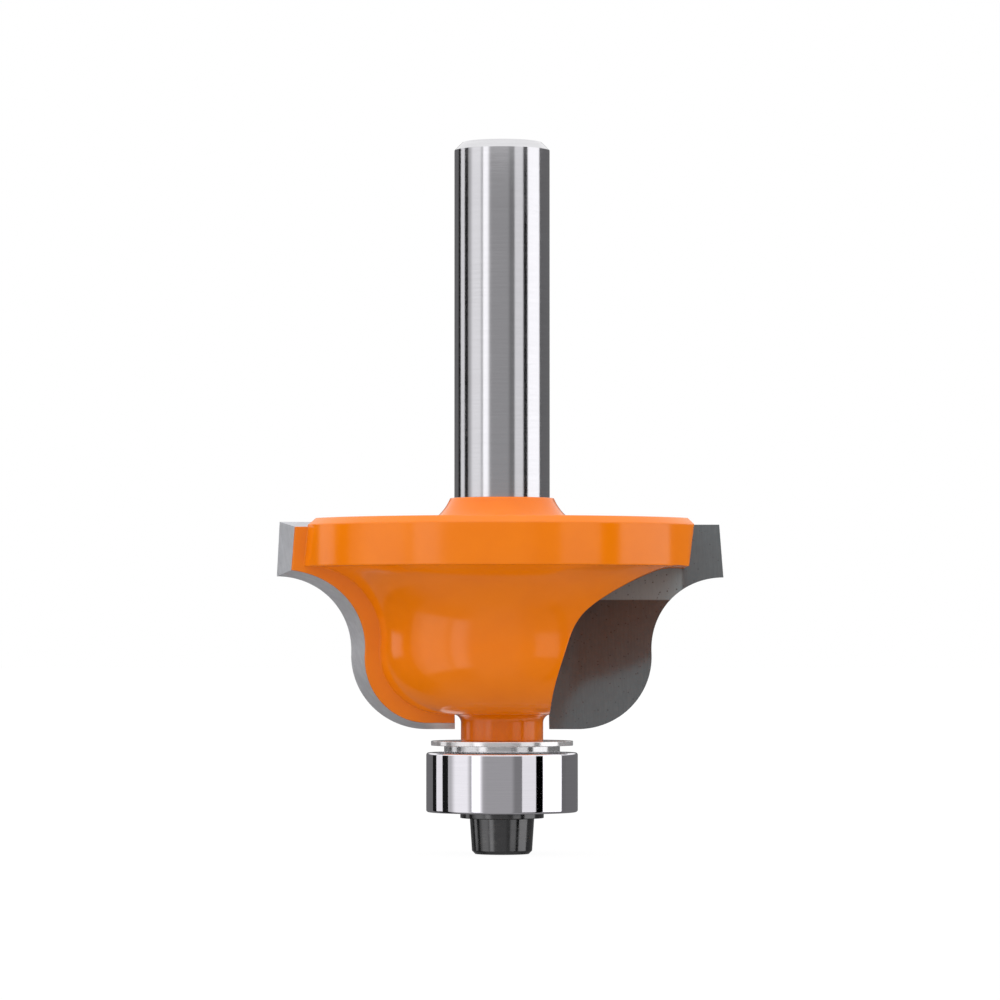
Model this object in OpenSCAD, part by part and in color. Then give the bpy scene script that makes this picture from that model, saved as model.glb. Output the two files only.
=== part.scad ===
// Roman ogee router bit, two flutes, guide bearing under the blades.
// Axis along Z. The screw head's flat end lies on z = 0 and the shank points up.
// The blades lie along X: the rake face of the +X blade looks towards -Y.

/* [Shank] */
// Diameter of the ground shank
shank_d = 8; // [6:0.05:10]
// Length of the shank above the collar
shank_len = 29.9; // [20:0.1:45]
// Chamfer round the shank's free end
shank_chamfer = 0.67; // [0.2:0.01:1.2]

/* [Collar and rim] */
// Step from the shank's surface out to the collar's top edge
collar_step = 0.35; // [0.1:0.05:0.8]
// Height of the collar above the rim
collar_h = 1.8; // [1:0.05:2.4]
// Radius of the collar's hollow flare
flare_r = 4; // [3:0.1:5]
// Slope of the flare at the collar's top edge, from upright
flare_lean = 22; // [10:1:35]
// Diameter of the rim disc
rim_d = 32.3; // [31:0.1:34]
// Height of the rim disc
rim_h = 4; // [3.2:0.1:5]
// Chamfer round the rim's top edge
rim_chamfer = 0.55; // [0.2:0.05:1]
// Distance from the corner of the cove up to the rim's underside
rim_lift = 0.8; // [0.5:0.05:1.2]

/* [Bell under the rim] */
// Gap between the bell's waist and the cutting circle there, on the radius
waist_gap = 1.55; // [1.2:0.05:2.2]
// Gap between the bell's bottom and the bottom of the blades
bottom_gap = 1.25; // [0.9:0.05:1.8]
// Height of the bell's round lower part
bell_bead_h = 5.7; // [5:0.1:6.5]
// Width of the rim's underside outside the bell
rim_ledge = 0.2; // [0.1:0.05:0.5]
// Diameter of the neck between the bell and the spacer
neck_d = 6.9; // [6.2:0.1:7.2]
// Fillet where the neck meets the bell
neck_fillet = 0.7; // [0.3:0.05:0.8]
// Clear height between the spacer and the bottom of the blades
neck_gap = 0.97; // [0.6:0.01:2]

/* [Blades] */
// Radius of the rounded lower half of the cutting edge
bead_r = 6.35; // [5.85:0.1:7.05]
// Radius of the hollow upper half of the cutting edge
cove_r = 6.35; // [5.85:0.1:7.05]
// Short straight length of edge between the two
waist_flat = 0.05; // [0.05:0.05:0.6]
// Height of the upright edge above the cove's corner
side_edge_h = 4.5; // [4:0.1:5]
// Distance from the axis to the inner end of each blade
blade_inner_x = 3.95; // [3.8:0.05:4.2]
// Lean of the rake faces, which makes the edges cut with a shear
shear_angle = 16; // [13:1:18]
// Height above the bottom of the blades at which the rake faces cross the axis
shear_h = 0.45; // [0.2:0.05:0.8]
// Thickness of the carbide tip, measured along Y
tip_t = 2.2; // [1.6:0.1:2.6]
// Thickness of the steel wing behind the tip
wing_t = 0.8; // [0.6:0.1:1.2]
// Clearance behind the edge at the back of the tip, on the radius
tip_relief_r = 0.75; // [0.5:0.05:1]
// Clearance behind the edge at the back of the tip, upwards and downwards
tip_relief_z = 0.52; // [0.3:0.02:0.7]
// Clearance behind the top edge at the back of the tip
tip_relief_top = 0.42; // [0.3:0.02:0.48]
// Clearance behind the edge at the back of the wing, on the radius
wing_relief_r = 1.4; // [1.2:0.05:1.6]
// Clearance behind the edge at the back of the wing, upwards and downwards
wing_relief_z = 1.2; // [0.8:0.05:1.3]
// Clearance behind the top edge at the back of the wing
wing_relief_top = 0.56; // [0.5:0.02:0.8]

/* [Chip gullets] */
// Radius of the cutter that mills each gullet
gullet_r = 11.7; // [11.2:0.05:12]
// Distance of the gullet's centre from the axis
gullet_x = 15.85; // [15.6:0.05:16.2]
// Height of the gullet's centre above the bottom of the blades
gullet_h = 1.8; // [1.5:0.1:2.1]
// Distance from the axis to the flat on the rim beside each tip
rim_flat_x = 15.5; // [15.1:0.1:15.6]
// Lean of that flat, outwards going up
rim_flat_lean = 8; // [5:1:12]
// Narrow strip of bare floor between the gullet's wall and the tip
tip_margin = 0.1; // [0.05:0.05:0.4]

/* [Guide bearing] */
// Outer diameter of the bearing
bearing_d = 12.7; // [12.5:0.05:13]
// Bore of the bearing
bearing_bore = 4.7625; // [4.6:0.0125:4.9]
// Width of the bearing
bearing_w = 4.978; // [4.8:0.001:5.4]
// Diameter of a ball
ball_d = 2.381; // [2.2:0.001:2.5]
// Number of balls
ball_count = 7; // [7:1:7]
// Running clearance between a ball and each groove
ball_clearance = 0.02; // [0.015:0.005:0.04]
// Height of the groove shoulders, from the ball's contact point
groove_depth = 0.44; // [0.3:0.01:0.5]
// Rounding of the outer ring's corners
ring_round = 0.2; // [0.1:0.02:0.35]
// Clearance round each ball in its cage pocket
pocket_clearance = 0.06; // [0.03:0.01:0.1]
// Wall of the cage ring, on the radius
cage_wall = 0.54; // [0.4:0.02:0.7]
// Thickness of the cage's closed side
cage_back = 0.3; // [0.2:0.02:0.4]
// Height of the cage's fingers above the middle of the balls
cage_finger_h = 0.6; // [0.4:0.05:0.8]
// Thickness of a shield
shield_t = 0.2; // [0.15:0.01:0.25]
// Running gap between a shield and the inner ring
shield_gap = 0.08; // [0.05:0.01:0.15]
// Thickness of the ring that holds a shield
snap_t = 0.22; // [0.18:0.01:0.26]
// Width of that ring, on the radius
snap_w = 0.4; // [0.3:0.05:0.5]
// Depth of the snap ring below the bearing's face
face_recess = 0.19; // [0.12:0.01:0.3]
// Depth of the seat for shield and snap ring, on the radius
seat_depth = 0.36; // [0.3:0.02:0.4]

/* [Spacer, washer and screw] */
// Slip clearance round the arbor, on the radius
arbor_clearance = 0.01; // [0.005:0.005:0.03]
// Diameter of the spacer's flange
spacer_d = 11.9; // [11:0.1:12.4]
// Thickness of the flange
spacer_t = 0.4; // [0.3:0.05:0.7]
// Diameter of the spacer's lower step
step_d = 9.7; // [9:0.1:9.9]
// Height of the step
step_h = 0.58; // [0.4:0.02:0.9]
// Diameter of the screw's washer
washer_d = 7; // [6.4:0.1:7.1]
// Thickness of the washer
washer_t = 0.5; // [0.4:0.05:0.8]
// Hole in the washer
washer_hole = 3.2; // [3.1:0.05:3.5]
// Diameter of the screw head under the washer
head_d = 5.4; // [5:0.1:6]
// Diameter of the head's free end, before its chamfer
head_end_d = 5.04; // [4.7:0.02:5.4]
// Height of the head
head_h = 3; // [2.6:0.1:3.4]
// Chamfer round the head's free end
head_chamfer = 0.28; // [0.1:0.02:0.4]
// Width of the hexagon socket across its flats
hex_af = 2.5; // [2:0.05:3]
// Depth of the hexagon socket
hex_depth = 1.5; // [1.2:0.1:1.8]
// Diameter of the screw's stem
screw_d = 3; // [2.5:0.1:3.1]
// Length of the screw under its head
screw_len = 8; // [6:0.1:9]
// Clearance round the stem in its hole, on the radius
screw_clearance = 0.02; // [0.01:0.01:0.05]
// Gap between the arbor's end and the washer
arbor_setback = 0.2; // [0.1:0.05:0.5]

/* [Hidden] */

// Smoothness of turned surfaces
turned = 96;
// Steps along each arc of the cutting edge
edge_steps = 12;
// Larger than the part in every direction
big = 80;

// Heights, from the screw's free end upwards
washer_z = head_h;
bearing_z = washer_z + washer_t;
bearing_mid_z = bearing_z + bearing_w / 2;
step_z = bearing_z + bearing_w;
flange_z = step_z + step_h;
neck_z = flange_z + spacer_t;
blade_z = neck_z + neck_gap;
bell_z = blade_z + bottom_gap;
waist_z = blade_z + bead_r;
cove_z = waist_z + waist_flat;
cove_corner_z = cove_z + cove_r;
blade_top_z = cove_corner_z + side_edge_h;
rim_z = cove_corner_z + rim_lift;
rim_top_z = rim_z + rim_h;
collar_top_z = rim_top_z + collar_h;
shank_top_z = collar_top_z + shank_len;

// The bead starts flush with the bearing, so the cutting circle follows from it
bead_centre_r = bearing_d / 2;
waist_r = bead_centre_r + bead_r;
cutting_r = waist_r + cove_r;

// The bell: a round lower part, then a hollow that meets the rim's underside
bell_waist_r = waist_r - waist_gap;
bell_waist_z = bell_z + bell_bead_h;
hollow_w = rim_d / 2 - rim_ledge - bell_waist_r;
hollow_h = rim_z - bell_waist_z;
hollow_r = (hollow_w * hollow_w + hollow_h * hollow_h) / (2 * hollow_w);

// The collar's flare is an arc whose centre lies outside and above the collar
collar_r = shank_d / 2 + collar_step;
flare_x = collar_r + flare_r * cos(flare_lean);
flare_z = collar_top_z + flare_r * sin(flare_lean);

// The rake plane: y = slope * (z - shear_z)
shear_z = blade_z + shear_h;
slope = tan(shear_angle);
wing_back_t = tip_t + wing_t;

// Bearing
arbor_r = bearing_bore / 2 - arbor_clearance;
pitch_r = (bearing_bore + bearing_d) / 4;
groove_r = ball_d * 0.52;
inner_groove_r = pitch_r - ball_d / 2 - ball_clearance;
outer_groove_r = pitch_r + ball_d / 2 + ball_clearance;
inner_land_r = inner_groove_r + groove_depth;
outer_land_r = outer_groove_r - groove_depth;
seat_r = outer_land_r + seat_depth;
seat_h = face_recess + snap_t + shield_t;
pocket_r = ball_d / 2 + pocket_clearance;

// Turns a half section drawn in X and Y round the Z axis, starting between the blades
module turn() {
    rotate([0, 0, 120])
        rotate_extrude($fn = turned)
            children();
}

// Everything on the chip side of a rake plane
module rake_side(behind) {
    translate([0, behind, shear_z])
        rotate([-shear_angle, 0, 0])
            translate([-big, -2 * big, -big])
                cube(2 * big);
}

// Drawn looking along +Y and carried through the whole part
module through_y() {
    translate([0, big / 2, 0])
        rotate([90, 0, 0])
            linear_extrude(height = big)
                children();
}

// The space swept by the gullet's cutter, or the field of its tip with a margin: a round
// part, and everything outside the leaning flat beside the rim
module milled_space(margin) {
    foot_x = rim_flat_x + margin;
    rise = 2 * rim_h;
    low_z = blade_z + gullet_h;
    through_y()
        translate([gullet_x, low_z])
            circle(gullet_r - margin, $fn = turned);
    through_y()
        polygon([
            [foot_x, low_z],
            [foot_x, rim_z],
            [foot_x + rise * tan(rim_flat_lean), rim_z + rise],
            [big / 2, rim_z + rise],
            [big / 2, low_z]
        ]);
}

// One chip gullet, in front of the rake face of the +X blade
module gullet() {
    intersection() {
        milled_space(0);
        rake_side(0);
    }
}

// The seat milled into the steel for one tip
module tip_seat() {
    intersection() {
        milled_space(tip_margin);
        rake_side(tip_t);
        translate([blade_inner_x, -big / 2, 0])
            cube(big);
    }
}

// Cutting outline as [radius, height] below its top, drawn in by a clearance on both
function edge_line(cr, cz) = concat(
    [for (i = [0 : edge_steps])
        let (a = -90 + 90 * i / edge_steps)
        [bead_centre_r + (bead_r - cr) * cos(a), waist_z + (bead_r - cz) * sin(a)]],
    [for (i = [0 : edge_steps])
        let (turned_by = asin(cr / (cove_r + cr)), a = 180 - (90 - turned_by) * i / edge_steps)
        [cutting_r + (cove_r + cr) * cos(a), cove_z + (cove_r + cz) * sin(a)]]
);

// A point at a given radius and height on the plane a distance behind the rake face
function on_plane(r, z, behind) =
    let (y = slope * (z - shear_z) + behind)
    [sqrt(r * r - y * y), y, z];

// One closed section of a blade, on a plane behind the rake face. Its first corner, inside
// at the top, has a clear view of all the others.
function blade_section(cr, cz, top, behind) =
    let (top_z = blade_top_z - top, low_z = blade_z + cz)
    concat(
        [[blade_inner_x, slope * (top_z - shear_z) + behind, top_z]],
        [[blade_inner_x, slope * (low_z - shear_z) + behind, low_z]],
        [for (p = edge_line(cr, cz)) on_plane(p[0], p[1], behind)],
        [on_plane(cutting_r - cr, top_z, behind)]
    );

// A solid skinned between two sections that have the same number of points
module skin(front, back) {
    n = len(front);
    points = concat(front, back);
    front_cap = concat([0], [for (i = [n - 1 : -1 : 1]) i]);
    back_cap = [for (i = [0 : n - 1]) n + i];
    sides = [for (i = [0 : n - 1])
        let (j = (i + 1) % n)
        for (f = [[i, j, n + i], [j, n + j, n + i]]) f];
    polyhedron(points, concat([front_cap, back_cap], sides));
}

// The slice of space between two planes behind a rake face
module slice(from, to) {
    difference() {
        rake_side(to);
        rake_side(from);
    }
}

// Part of the way from one section to another, or beyond them
function between(front, back, part) =
    [for (i = [0 : len(front) - 1]) front[i] + (back[i] - front[i]) * part];

// A solid that follows two sections, cut off by the planes that they lie on
module blade_solid(front, back, from, to) {
    intersection() {
        skin(between(front, back, -0.1), between(front, back, 1.1));
        slice(from, to);
    }
}

// One carbide tip, relieved behind its cutting edge
module tip() {
    intersection() {
        blade_solid(
            blade_section(0, 0, 0, 0),
            blade_section(tip_relief_r, tip_relief_z, tip_relief_top, tip_t),
            0, tip_t
        );
        milled_space(tip_margin);
    }
}

// The steel wing that backs a tip
module wing() {
    blade_solid(
        blade_section(tip_relief_r, tip_relief_z, tip_relief_top, tip_t),
        blade_section(wing_relief_r, wing_relief_z, wing_relief_top, wing_back_t),
        tip_t, wing_back_t
    );
}

// Half section of the bell below the rim
module bell_section() {
    bead_x = bell_waist_r - bell_bead_h;
    translate([0, bell_z])
        square([bead_x, bell_bead_h]);
    intersection() {
        translate([bead_x, bell_waist_z])
            circle(bell_bead_h, $fn = turned);
        translate([0, bell_z])
            square([bell_waist_r, bell_bead_h]);
    }
    difference() {
        translate([0, bell_waist_z])
            square([bell_waist_r + hollow_w, hollow_h]);
        translate([bell_waist_r + hollow_r, bell_waist_z])
            circle(hollow_r, $fn = turned);
    }
}

// Half section of the rim disc
module rim_section() {
    polygon([
        [0, rim_z],
        [rim_d / 2, rim_z],
        [rim_d / 2, rim_top_z - rim_chamfer],
        [rim_d / 2 - rim_chamfer, rim_top_z],
        [0, rim_top_z]
    ]);
}

// Half section of the collar with its hollow flare
module collar_section() {
    difference() {
        translate([0, rim_top_z])
            square([flare_x, collar_h]);
        translate([flare_x, flare_z])
            circle(flare_r, $fn = turned);
    }
}

// Half section of the fillet between neck and bell
module neck_fillet_section() {
    difference() {
        translate([0, bell_z - neck_fillet])
            square([neck_d / 2 + neck_fillet, neck_fillet]);
        translate([neck_d / 2 + neck_fillet, bell_z - neck_fillet])
            circle(neck_fillet, $fn = turned);
    }
}

// Half section of the shank, with the chamfer on its free end
module shank_section() {
    polygon([
        [0, rim_top_z],
        [shank_d / 2, rim_top_z],
        [shank_d / 2, shank_top_z - shank_chamfer],
        [shank_d / 2 - shank_chamfer, shank_top_z],
        [0, shank_top_z]
    ]);
}

// Half section of the neck and of the arbor that carries the bearing
module arbor_section() {
    arbor_end_z = bearing_z + arbor_setback;
    polygon([
        [0, arbor_end_z],
        [arbor_r - arbor_setback, arbor_end_z],
        [arbor_r, arbor_end_z + arbor_setback],
        [arbor_r, neck_z],
        [neck_d / 2, neck_z],
        [neck_d / 2, bell_waist_z],
        [0, bell_waist_z]
    ]);
}

// The tapped hole for the bearing's screw, with its drill point
module screw_hole() {
    hole_r = screw_d / 2 + screw_clearance;
    hole_top_z = washer_z + screw_len + screw_d / 2;
    turn()
        polygon([
            [0, 0],
            [hole_r, 0],
            [hole_r, hole_top_z],
            [0, hole_top_z + hole_r * tan(31)]
        ]);
}

// Bell, rim and wings, with gullets and tip seats cut on both sides
module cutter_head() {
    difference() {
        union() {
            turn() bell_section();
            turn() rim_section();
            for (side = [0, 180])
                rotate([0, 0, side])
                    wing();
        }
        for (side = [0, 180])
            rotate([0, 0, side]) {
                gullet();
                tip_seat();
            }
    }
}

// Shank, collar, rim, bell, wings, neck and arbor, all one piece of steel
module body() {
    color([0.94, 0.5, 0.08])
        difference() {
            union() {
                cutter_head();
                turn() collar_section();
                turn() neck_fillet_section();
                turn() shank_section();
                turn() arbor_section();
            }
            screw_hole();
        }
}

// Carbide tip of the +X blade
module tip_a() {
    color([0.42, 0.42, 0.43])
        tip();
}

// Carbide tip of the -X blade
module tip_b() {
    color([0.42, 0.42, 0.43])
        rotate([0, 0, 180])
            tip();
}

// Stepped spacer between the neck's shoulder and the bearing
module spacer_washer() {
    color([0.85, 0.86, 0.88])
        turn()
            difference() {
                union() {
                    translate([0, step_z])
                        square([step_d / 2, step_h]);
                    translate([0, flange_z])
                        square([spacer_d / 2, spacer_t]);
                }
                translate([0, step_z - 1])
                    square([bearing_bore / 2, step_h + spacer_t + 2]);
            }
}

// Inner ring of the bearing, which the screw holds still on the arbor
module inner_ring() {
    color([0.8, 0.81, 0.83])
        turn()
            difference() {
                translate([bearing_bore / 2, bearing_z])
                    square([inner_land_r - bearing_bore / 2, bearing_w]);
                translate([inner_groove_r + groove_r, bearing_mid_z])
                    circle(groove_r, $fn = turned);
            }
}

// Half section of a block with its outer corners rounded
module rounded_block(r, z, h, rounding) {
    translate([0, z])
        square([r - rounding, h]);
    translate([0, z + rounding])
        square([r, h - 2 * rounding]);
    for (corner_z = [z + rounding, z + h - rounding])
        translate([r - rounding, corner_z])
            circle(rounding, $fn = 32);
}

// Outer ring of the bearing, which rolls along the work
module outer_ring() {
    color([0.8, 0.81, 0.83])
        turn()
            difference() {
                rounded_block(bearing_d / 2, bearing_z, bearing_w, ring_round);
                translate([0, bearing_z - 1])
                    square([outer_land_r, bearing_w + 2]);
                for (seat_z = [bearing_z - 1, bearing_z + bearing_w - seat_h])
                    translate([0, seat_z])
                        square([seat_r, seat_h + 1]);
                translate([outer_groove_r - groove_r, bearing_mid_z])
                    circle(groove_r, $fn = turned);
            }
}

// Places a child at the middle of ball number i
module at_ball(i) {
    rotate([0, 0, (i - 1) * 360 / ball_count])
        translate([pitch_r, 0, bearing_mid_z])
            children();
}

// Crown cage: a closed ring below the balls with fingers between them
module bearing_cage() {
    cage_z = bearing_mid_z - pocket_r - cage_back;
    cage_h = pocket_r + cage_back + cage_finger_h;
    color([0.72, 0.6, 0.36])
        difference() {
            turn()
                translate([pitch_r - cage_wall / 2, cage_z])
                    square([cage_wall, cage_h]);
            for (i = [1 : ball_count])
                at_ball(i)
                    sphere(pocket_r, $fn = 48);
        }
}

// One steel ball of the bearing
module ball(i) {
    color([0.86, 0.87, 0.88])
        at_ball(i)
            sphere(ball_d / 2, $fn = 48);
}

// Thin washer that keeps dust out of the bearing
module shield(z) {
    color([0.74, 0.75, 0.77])
        turn()
            translate([inner_land_r + shield_gap, z])
                square([seat_r - inner_land_r - shield_gap, shield_t]);
}

// Split ring that holds a shield in its seat
module snap_ring(z) {
    split_w = 1.2;
    color([0.6, 0.61, 0.63])
        difference() {
            turn()
                translate([seat_r - snap_w, z])
                    square([snap_w, snap_t]);
            translate([0, -split_w / 2, z - 1])
                cube([bearing_d, split_w, snap_t + 2]);
        }
}

module upper_shield() { shield(bearing_z + bearing_w - seat_h); }
module lower_shield() { shield(bearing_z + seat_h - shield_t); }
module upper_snap_ring() { snap_ring(bearing_z + bearing_w - face_recess - snap_t); }
module lower_snap_ring() { snap_ring(bearing_z + face_recess); }

// Flat washer between the screw head and the inner ring
module screw_washer() {
    color([0.13, 0.13, 0.14])
        turn()
            translate([washer_hole / 2, washer_z])
                square([(washer_d - washer_hole) / 2, washer_t]);
}

// Cap screw with a hexagon socket, its head tapering to the free end
module bearing_screw() {
    end_r = head_end_d / 2;
    socket_r = hex_af / 2 / cos(30);
    color([0.15, 0.15, 0.16])
        difference() {
            turn()
                polygon([
                    [0, 0],
                    [end_r - head_chamfer, 0],
                    [end_r, head_chamfer],
                    [head_d / 2, washer_z],
                    [screw_d / 2, washer_z],
                    [screw_d / 2, washer_z + screw_len - head_chamfer],
                    [screw_d / 2 - head_chamfer, washer_z + screw_len],
                    [0, washer_z + screw_len]
                ]);
            translate([0, 0, -1])
                cylinder(r = socket_r, h = hex_depth + 1, $fn = 6);
        }
}

body();
tip_a();
tip_b();
spacer_washer();
inner_ring();
outer_ring();
bearing_cage();
ball(1);  // ball_1
ball(2);  // ball_2
ball(3);  // ball_3
ball(4);  // ball_4
ball(5);  // ball_5
ball(6);  // ball_6
ball(7);  // ball_7
upper_shield();
lower_shield();
upper_snap_ring();
lower_snap_ring();
screw_washer();
bearing_screw();
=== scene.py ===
"""A Roman ogee router bit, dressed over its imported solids.

Every visible piece is modelled again in millimetres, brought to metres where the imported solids
stand, and given a procedural finish: gloss paint on the head, ground steel on the shank,
sintered carbide on the tips, polished steel on the guide bearing and black oxide on its screw.
A studio world with soft panels lights the bit, over a pale floor.
"""

import logging
import math
from collections.abc import Callable, Sequence
from dataclasses import dataclass, field
from enum import Enum

import bmesh
import bpy
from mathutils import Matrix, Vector


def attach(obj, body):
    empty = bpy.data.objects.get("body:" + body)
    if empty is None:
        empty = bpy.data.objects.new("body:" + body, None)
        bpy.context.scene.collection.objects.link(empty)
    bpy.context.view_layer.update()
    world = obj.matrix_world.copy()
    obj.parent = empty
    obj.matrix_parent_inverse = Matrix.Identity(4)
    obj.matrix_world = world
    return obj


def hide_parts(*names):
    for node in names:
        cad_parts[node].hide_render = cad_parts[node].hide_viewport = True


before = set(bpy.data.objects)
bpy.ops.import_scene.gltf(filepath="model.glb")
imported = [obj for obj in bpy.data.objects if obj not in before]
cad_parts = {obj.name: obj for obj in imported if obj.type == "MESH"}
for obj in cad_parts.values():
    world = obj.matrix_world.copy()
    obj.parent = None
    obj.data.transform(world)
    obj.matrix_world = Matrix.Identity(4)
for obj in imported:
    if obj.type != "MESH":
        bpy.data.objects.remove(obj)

LOG = logging.getLogger("router_bit")
MM = 0.001
ORIGIN = (0.0, 0.0, 0.0)

Point = tuple[float, float]
Point3 = tuple[float, float, float]
Colour = tuple[float, float, float]
Solid = bpy.types.Object
Socket = bpy.types.NodeSocket
Material = bpy.types.Material


# Modelling helpers


class Combine(Enum):
    """What a boolean does with its tool."""

    UNION = "UNION"
    CUT = "DIFFERENCE"
    KEEP_COMMON = "INTERSECT"


def activate(obj: Solid) -> None:
    """Makes an object the only selected one.

    Args:
        obj: The object that the next operators work on.
    """
    bpy.ops.object.select_all(action="DESELECT")
    obj.select_set(True)
    bpy.context.view_layer.objects.active = obj


def enter(obj: Solid) -> None:
    """Opens an object in edit mode, with all of it selected.

    Args:
        obj: The mesh to open.
    """
    activate(obj)
    bpy.ops.object.mode_set(mode="EDIT")
    bpy.ops.mesh.select_mode(type="VERT")
    bpy.ops.mesh.select_all(action="SELECT")


def leave() -> None:
    """Goes back to object mode."""
    bpy.ops.object.mode_set(mode="OBJECT")


def pick(obj: Solid, wanted: Callable[[bmesh.types.BMVert], bool]) -> int:
    """Selects the vertices of an open mesh that a test accepts, and no others.

    Args:
        obj: The mesh, already in edit mode.
        wanted: The test on one vertex.

    Returns:
        How many vertices are selected.
    """
    work = bmesh.from_edit_mesh(obj.data)
    for vert in work.verts:
        vert.select_set(wanted(vert))
    work.select_flush_mode()
    bmesh.update_edit_mesh(obj.data)
    return sum(v.select for v in work.verts)


def draw_line(name: str, points: Sequence[Point3], closed: bool) -> Solid:
    """Draws a line of edges by extruding one vertex from point to point.

    Args:
        name: The new object's name.
        points: The corners, in millimetres.
        closed: Whether an edge joins the last corner to the first.

    Returns:
        The new object.
    """
    bpy.ops.object.select_all(action="DESELECT")
    bpy.ops.mesh.primitive_plane_add(size=1.0, location=points[0])
    obj = bpy.context.active_object
    obj.name = obj.data.name = name
    bpy.ops.object.transform_apply(location=True, rotation=False, scale=False)
    enter(obj)
    bpy.ops.mesh.merge(type="CENTER")
    for here, there in zip(points, points[1:], strict=False):
        step = tuple(b - a for a, b in zip(here, there, strict=True))
        bpy.ops.mesh.extrude_region_move(TRANSFORM_OT_translate={"value": step})
    if closed:
        last = len(points) - 1
        pick(obj, lambda v: v.index in (0, last))
        bpy.ops.mesh.edge_face_add()
    leave()
    return obj


def close_shell() -> None:
    """Merges doubles, turns the faces of the open mesh outwards and leaves edit mode."""
    bpy.ops.mesh.select_all(action="SELECT")
    bpy.ops.mesh.remove_doubles(threshold=1e-4)
    bpy.ops.mesh.normals_make_consistent(inside=False)
    leave()


def turn(name: str, outline: Sequence[Point], steps: int, closed: bool) -> Solid:
    """Turns a half section round the axis of the bit.

    Args:
        name: The new object's name.
        outline: Radius and height of each corner, in millimetres.
        steps: How many steps make the full turn.
        closed: Whether the section is a ring that keeps off the axis.

    Returns:
        The turned solid.
    """
    obj = draw_line(name, [(r, 0.0, z) for r, z in outline], closed)
    enter(obj)
    bpy.ops.mesh.spin(
        steps=steps, angle=math.tau, center=ORIGIN, axis=(0, 0, 1), use_auto_merge=True
    )
    close_shell()
    return obj


def skin(name: str, front: Sequence[Point3], back: Sequence[Point3]) -> Solid:
    """Bridges two outlines with the same number of corners and caps both ends.

    Args:
        name: The new object's name.
        front: The first outline, in millimetres.
        back: The second outline, in millimetres.

    Returns:
        The closed solid.
    """
    count = len(front)
    obj = draw_line(name, front, closed=True)
    other = draw_line(name + "_back", back, closed=True)
    activate(obj)
    other.select_set(True)
    bpy.ops.object.join()
    enter(obj)
    bpy.ops.mesh.bridge_edge_loops()
    for low in (0, count):
        pick(obj, lambda v, low=low: low <= v.index < low + count)
        bpy.ops.mesh.edge_face_add()
    close_shell()
    return obj


def combine(obj: Solid, tool: Solid, how: Combine) -> None:
    """Applies a boolean and removes its tool.

    Args:
        obj: The solid that stays.
        tool: The solid that is used up.
        how: What happens between the two.
    """
    activate(obj)
    bpy.ops.object.modifier_add(type="BOOLEAN")
    modifier = obj.modifiers[-1]
    modifier.operation = how.value
    modifier.solver = "EXACT"
    modifier.object = tool
    bpy.ops.object.modifier_apply(modifier=modifier.name)
    bpy.data.objects.remove(tool)


def copied(obj: Solid, name: str) -> Solid:
    """Copies an object together with its mesh.

    Args:
        obj: The object to copy.
        name: The copy's name.

    Returns:
        The copy.
    """
    activate(obj)
    bpy.ops.object.duplicate(linked=False)
    twin = bpy.context.active_object
    twin.name = twin.data.name = name
    return twin


def half_turn(obj: Solid) -> Solid:
    """Turns a solid half way round the axis of the bit.

    Args:
        obj: The solid to turn.

    Returns:
        The same object.
    """
    enter(obj)
    bpy.ops.transform.rotate(value=math.pi, orient_axis="Z", center_override=ORIGIN)
    leave()
    return obj


def combine_twice(obj: Solid, tool: Solid, how: Combine) -> None:
    """Applies a boolean with a tool and with its copy on the other side of the axis.

    Args:
        obj: The solid that stays.
        tool: The solid that is copied and used up.
        how: What happens between them.
    """
    twin = half_turn(copied(tool, "other_side"))
    combine(obj, tool, how)
    combine(obj, twin, how)


def cut_with(obj: Solid, add: Callable[..., object], **sizes: object) -> None:
    """Cuts a new primitive out of a solid.

    Args:
        obj: The solid.
        add: The operator that adds the primitive.
        **sizes: The primitive's sizes and place.
    """
    bpy.ops.object.select_all(action="DESELECT")
    add(**sizes)
    combine(obj, bpy.context.active_object, Combine.CUT)


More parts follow.
